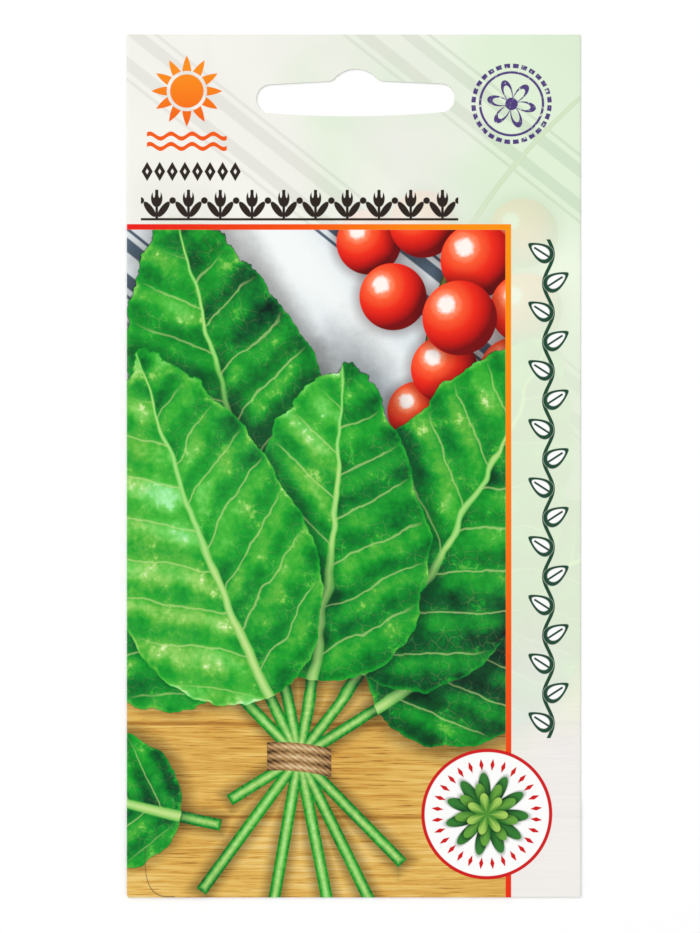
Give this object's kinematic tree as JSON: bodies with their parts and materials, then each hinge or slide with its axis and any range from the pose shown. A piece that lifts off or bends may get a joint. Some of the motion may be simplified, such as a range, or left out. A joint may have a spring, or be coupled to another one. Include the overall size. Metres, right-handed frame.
{
  "type": "seed packet",
  "caption": "Flat printed paper seed packet: a folded envelope with a header, a hang slot for a display hook and loose seeds inside.",
  "frame": {"origin": "middle of the packet's back, on the surface that it lies on", "axes": "+X across the packet to the right as its front is read, +Y up to the header with the hang slot, +Z out of the printed front"},
  "size_m": [0.075, 0.1428, 0.0027],
  "materials": {
    "printed_paper": "coated printing paper, semi-gloss, printed in colour on the outside and white inside",
    "seed_coat": "smooth dark brown seed coat with a dull shine"
  },
  "bodies": {
    "root": {"envelope": "printed_paper", "seeds": "seed_coat"}
  },
  "joints": []
}
